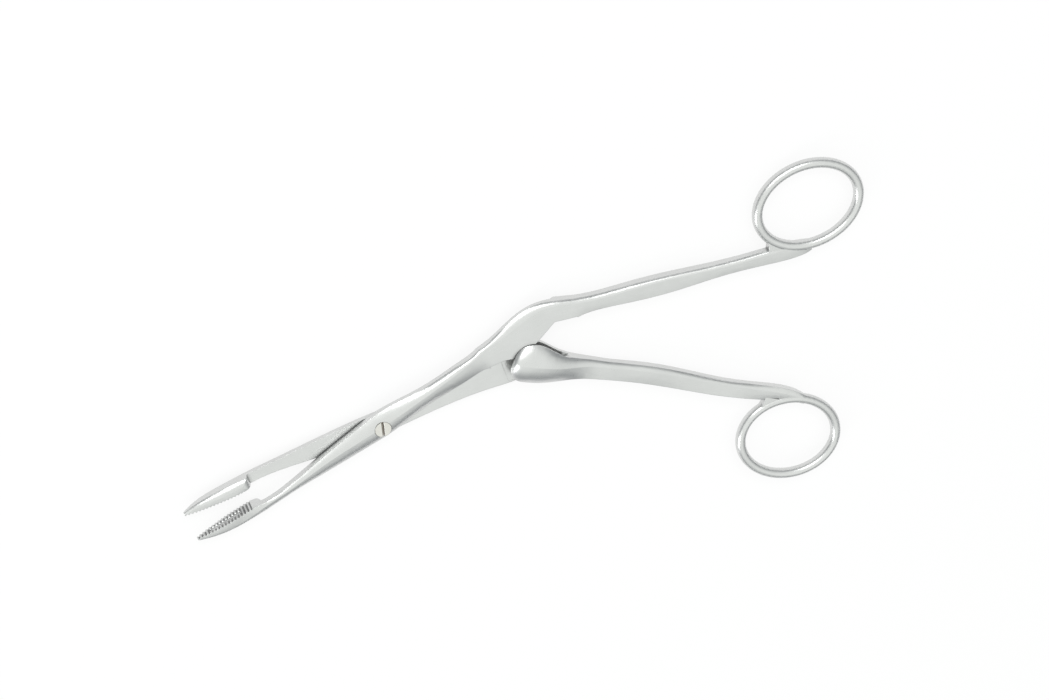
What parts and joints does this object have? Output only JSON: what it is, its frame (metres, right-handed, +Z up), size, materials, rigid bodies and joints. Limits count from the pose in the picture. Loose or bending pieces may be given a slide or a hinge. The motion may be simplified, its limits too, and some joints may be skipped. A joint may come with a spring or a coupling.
{
  "type": "nasal forceps",
  "caption": "Ring-handled nasal forceps in satin steel: long slim arms crossing at a slotted screw, grooved serrated jaws, an elbow guided in a fork, and offset handles.",
  "frame": {"origin": "under the middle of the object's box, on the plane it lies on, with the jaws open as in the picture", "axes": "+X from the jaws to the finger rings, +Y towards the handle of the front half, +Z up from the plane it lies on, along the screw"},
  "size_m": [0.1904, 0.0908, 0.0072],
  "materials": {
    "front_steel": "satin, fine lengthwise brushing",
    "rear_steel": "satin, fine lengthwise brushing",
    "screw_steel": "satin, faced head"
  },
  "bodies": {
    "rear": {"rear_half": "rear_steel", "joint_screw": "screw_steel"},
    "front": {"front_half": "front_steel"}
  },
  "joints": [
    {"name": "jaw_hinge", "type": "hinge", "parent": "rear", "child": "front", "pos_m": [-0.04133, 0.03463, 0.00261], "axis": [0, 0, 1], "range_deg": [-8.8, 12]}
  ]
}
